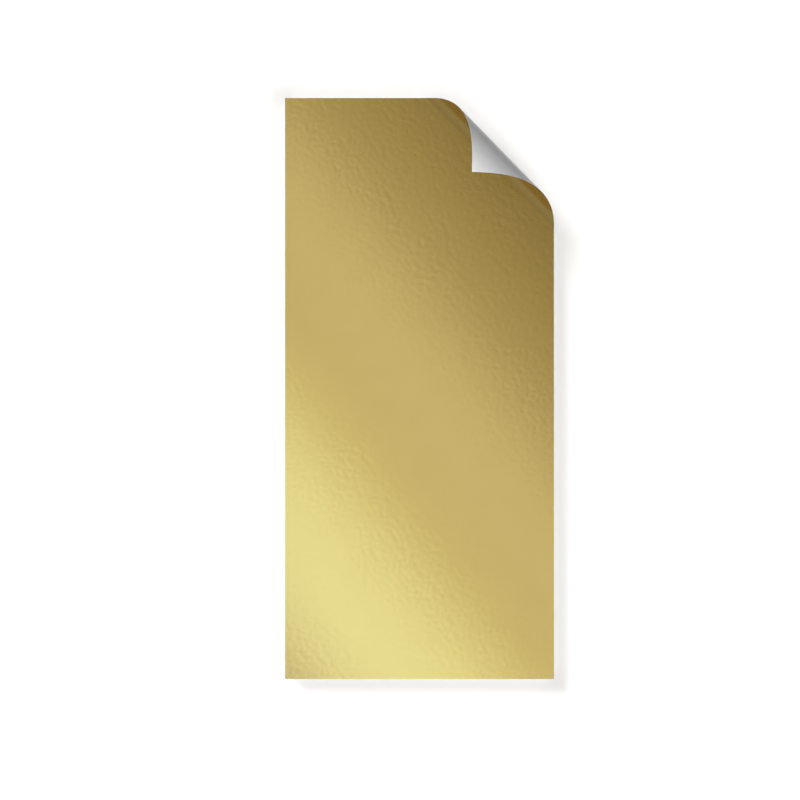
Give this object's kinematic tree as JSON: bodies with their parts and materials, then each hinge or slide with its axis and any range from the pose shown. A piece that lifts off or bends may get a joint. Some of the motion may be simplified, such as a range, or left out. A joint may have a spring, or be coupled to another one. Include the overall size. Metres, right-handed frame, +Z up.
{
  "type": "self-adhesive vinyl sheet",
  "caption": "Flat rectangular sheet of gold metallic self-adhesive sign vinyl on a silicone coated release liner, with one corner curled up and over.",
  "frame": {"origin": "middle of the sheet, on the underside of the release liner", "axes": "+X across the sheet to its right edge, +Y along its long side to the edge with the curled corner, +Z up out of the gold face"},
  "size_m": [0.3051, 0.6591, 0.071],
  "materials": {
    "gold_film": "satin",
    "adhesive": "gloss",
    "liner": "satin"
  },
  "bodies": {
    "sheet": {"main_film": "gold_film", "main_adhesive": "adhesive", "main_liner": "liner"},
    "curl_1": {"curl_film_1": "gold_film", "curl_adhesive_1": "adhesive", "curl_liner_1": "liner"},
    "curl_2": {"curl_film_2": "gold_film", "curl_adhesive_2": "adhesive", "curl_liner_2": "liner"},
    "curl_3": {"curl_film_3_fixed": "gold_film", "curl_adhesive_3_fixed": "adhesive", "curl_liner_3": "liner"},
    "curl_4": {"curl_liner_4": "liner"},
    "curl_5": {"curl_liner_5": "liner"},
    "curl_6": {"curl_liner_6": "liner"},
    "curl_7": {"curl_liner_7": "liner"},
    "film_flap_3": {"curl_film_3_lifting": "gold_film", "curl_adhesive_3_lifting": "adhesive"},
    "film_flap_4": {"curl_film_4": "gold_film", "curl_adhesive_4": "adhesive"},
    "film_flap_5": {"curl_film_5": "gold_film", "curl_adhesive_5": "adhesive"},
    "film_flap_6": {"curl_film_6": "gold_film", "curl_adhesive_6": "adhesive"},
    "film_flap_7": {"curl_film_7": "gold_film", "curl_adhesive_7": "adhesive"},
    "roll_01": {"roll_film_01": "gold_film", "roll_liner_01": "liner"},
    "roll_02": {"roll_film_02": "gold_film", "roll_liner_02": "liner"},
    "roll_03": {"roll_film_03": "gold_film", "roll_liner_03": "liner"},
    "roll_04": {"roll_film_04": "gold_film", "roll_liner_04": "liner"},
    "roll_05": {"roll_film_05": "gold_film", "roll_liner_05": "liner"},
    "roll_06": {"roll_film_06": "gold_film", "roll_liner_06": "liner"},
    "roll_07": {"roll_film_07": "gold_film", "roll_liner_07": "liner"},
    "roll_08": {"roll_film_08": "gold_film", "roll_liner_08": "liner"},
    "roll_09": {"roll_film_09": "gold_film", "roll_liner_09": "liner"},
    "roll_10": {"roll_film_10": "gold_film", "roll_liner_10": "liner"},
    "roll_11": {"roll_film_11": "gold_film", "roll_liner_11": "liner"},
    "roll_12": {"roll_film_12": "gold_film", "roll_liner_12": "liner"},
    "roll_13": {"roll_film_13": "gold_film", "roll_liner_13": "liner"}
  },
  "joints": [
    {"name": "corner_curl", "type": "hinge", "parent": "sheet", "child": "curl_1", "pos_m": [0.00992, 0.3316, 0.00026], "axis": [0.6988, -0.7153, 0], "range_deg": [-41.11, 4.73], "stiffness_Nm_per_rad": 0.02},
    {"name": "corner_curl_2", "type": "hinge", "parent": "curl_1", "child": "curl_2", "pos_m": [0.01531, 0.33686, 0.00683], "axis": [0.6988, -0.7153, 0], "range_deg": [-29.37, 3.4]},
    {"name": "corner_curl_3", "type": "hinge", "parent": "curl_2", "child": "curl_3", "pos_m": [0.01818, 0.33967, 0.01814], "axis": [0.6988, -0.7153, 0], "range_deg": [-19.59, 2.27]},
    {"name": "corner_curl_4", "type": "hinge", "parent": "curl_3", "child": "curl_4", "pos_m": [0.01817, 0.33966, 0.03114], "axis": [0.6988, -0.7153, 0], "range_deg": [-17.04, 1.98]},
    {"name": "corner_curl_5", "type": "hinge", "parent": "curl_4", "child": "curl_5", "pos_m": [0.01523, 0.33679, 0.04453], "axis": [0.6988, -0.7153, 0], "range_deg": [-17.03, 1.98]},
    {"name": "corner_curl_6", "type": "hinge", "parent": "curl_5", "child": "curl_6", "pos_m": [0.00961, 0.3313, 0.05612], "axis": [0.6988, -0.7153, 0], "range_deg": [-18.58, 2.16]},
    {"name": "corner_curl_7", "type": "hinge", "parent": "curl_6", "child": "curl_7", "pos_m": [0.00051, 0.32241, 0.06582], "axis": [0.6988, -0.7153, 0], "range_deg": [-24.1, 2.79]},
    {"name": "film_peel", "type": "hinge", "parent": "curl_3", "child": "film_flap_3", "pos_m": [0.01817, 0.33966, 0.02454], "axis": [0.6988, -0.7153, 0], "range_deg": [0, 45]},
    {"name": "film_flap_curl_4", "type": "hinge", "parent": "film_flap_3", "child": "film_flap_4", "pos_m": [0.01817, 0.33966, 0.03114], "axis": [0.6988, -0.7153, 0], "range_deg": [-17.04, 1.98]},
    {"name": "film_flap_curl_5", "type": "hinge", "parent": "film_flap_4", "child": "film_flap_5", "pos_m": [0.01523, 0.33679, 0.04453], "axis": [0.6988, -0.7153, 0], "range_deg": [-17.03, 1.98]},
    {"name": "film_flap_curl_6", "type": "hinge", "parent": "film_flap_5", "child": "film_flap_6", "pos_m": [0.00961, 0.3313, 0.05612], "axis": [0.6988, -0.7153, 0], "range_deg": [-18.58, 2.16]},
    {"name": "film_flap_curl_7", "type": "hinge", "parent": "film_flap_6", "child": "film_flap_7", "pos_m": [0.00051, 0.32241, 0.06582], "axis": [0.6988, -0.7153, 0], "range_deg": [-24.1, 2.79]},
    {"name": "roll_up", "type": "hinge", "parent": "sheet", "child": "roll_01", "pos_m": [0, 0.0007, 0.00026], "axis": [-1, 0, 0], "range_deg": [0, 20]},
    {"name": "roll_up_02", "type": "hinge", "parent": "roll_01", "child": "roll_02", "pos_m": [0, -0.0283, 0.00026], "axis": [-1, 0, 0], "range_deg": [-0.01, 32.01]},
    {"name": "roll_up_03", "type": "hinge", "parent": "roll_02", "child": "roll_03", "pos_m": [0, -0.0567, 0.00026], "axis": [-1, 0, 0], "range_deg": [-0.01, 40.01]},
    {"name": "roll_up_04", "type": "hinge", "parent": "roll_03", "child": "roll_04", "pos_m": [0, -0.0845, 0.00026], "axis": [-1, 0, 0], "range_deg": [-0.01, 40.01]},
    {"name": "roll_up_05", "type": "hinge", "parent": "roll_04", "child": "roll_05", "pos_m": [0, -0.1117, 0.00026], "axis": [-1, 0, 0], "range_deg": [-0.01, 40.01]},
    {"name": "roll_up_06", "type": "hinge", "parent": "roll_05", "child": "roll_06", "pos_m": [0, -0.1383, 0.00026], "axis": [-1, 0, 0], "range_deg": [-0.01, 40.01]},
    {"name": "roll_up_07", "type": "hinge", "parent": "roll_06", "child": "roll_07", "pos_m": [0, -0.1643, 0.00026], "axis": [-1, 0, 0], "range_deg": [-0.01, 40.01]},
    {"name": "roll_up_08", "type": "hinge", "parent": "roll_07", "child": "roll_08", "pos_m": [0, -0.1897, 0.00026], "axis": [-1, 0, 0], "range_deg": [-0.01, 40.01]},
    {"name": "roll_up_09", "type": "hinge", "parent": "roll_08", "child": "roll_09", "pos_m": [0, -0.2145, 0.00026], "axis": [-1, 0, 0], "range_deg": [-0.01, 40.01]},
    {"name": "roll_up_10", "type": "hinge", "parent": "roll_09", "child": "roll_10", "pos_m": [0, -0.2387, 0.00026], "axis": [-1, 0, 0], "range_deg": [-0.01, 40.01]},
    {"name": "roll_up_11", "type": "hinge", "parent": "roll_10", "child": "roll_11", "pos_m": [0, -0.2623, 0.00026], "axis": [-1, 0, 0], "range_deg": [-0.01, 40.01]},
    {"name": "roll_up_12", "type": "hinge", "parent": "roll_11", "child": "roll_12", "pos_m": [0, -0.2853, 0.00026], "axis": [-1, 0, 0], "range_deg": [-0.01, 40.01]},
    {"name": "roll_up_13", "type": "hinge", "parent": "roll_12", "child": "roll_13", "pos_m": [0, -0.3077, 0.00026], "axis": [-1, 0, 0], "range_deg": [-0.01, 40.01]}
  ],
  "couplings": [
    {"joint": "corner_curl_2", "follows": "corner_curl", "ratio": 0.71419},
    {"joint": "corner_curl_3", "follows": "corner_curl", "ratio": 0.47628},
    {"joint": "corner_curl_4", "follows": "corner_curl", "ratio": 0.41424},
    {"joint": "corner_curl_5", "follows": "corner_curl", "ratio": 0.41394},
    {"joint": "corner_curl_6", "follows": "corner_curl", "ratio": 0.45185},
    {"joint": "corner_curl_7", "follows": "corner_curl", "ratio": 0.58601},
    {"joint": "film_flap_curl_4", "follows": "corner_curl", "ratio": 0.41424},
    {"joint": "film_flap_curl_5", "follows": "corner_curl", "ratio": 0.41394},
    {"joint": "film_flap_curl_6", "follows": "corner_curl", "ratio": 0.45185},
    {"joint": "film_flap_curl_7", "follows": "corner_curl", "ratio": 0.58601},
    {"joint": "roll_up_02", "follows": "roll_up", "ratio": 1.6},
    {"joint": "roll_up_03", "follows": "roll_up", "ratio": 2},
    {"joint": "roll_up_04", "follows": "roll_up", "ratio": 2},
    {"joint": "roll_up_05", "follows": "roll_up", "ratio": 2},
    {"joint": "roll_up_06", "follows": "roll_up", "ratio": 2},
    {"joint": "roll_up_07", "follows": "roll_up", "ratio": 2},
    {"joint": "roll_up_08", "follows": "roll_up", "ratio": 2},
    {"joint": "roll_up_09", "follows": "roll_up", "ratio": 2},
    {"joint": "roll_up_10", "follows": "roll_up", "ratio": 2},
    {"joint": "roll_up_11", "follows": "roll_up", "ratio": 2},
    {"joint": "roll_up_12", "follows": "roll_up", "ratio": 2},
    {"joint": "roll_up_13", "follows": "roll_up", "ratio": 2}
  ]
}
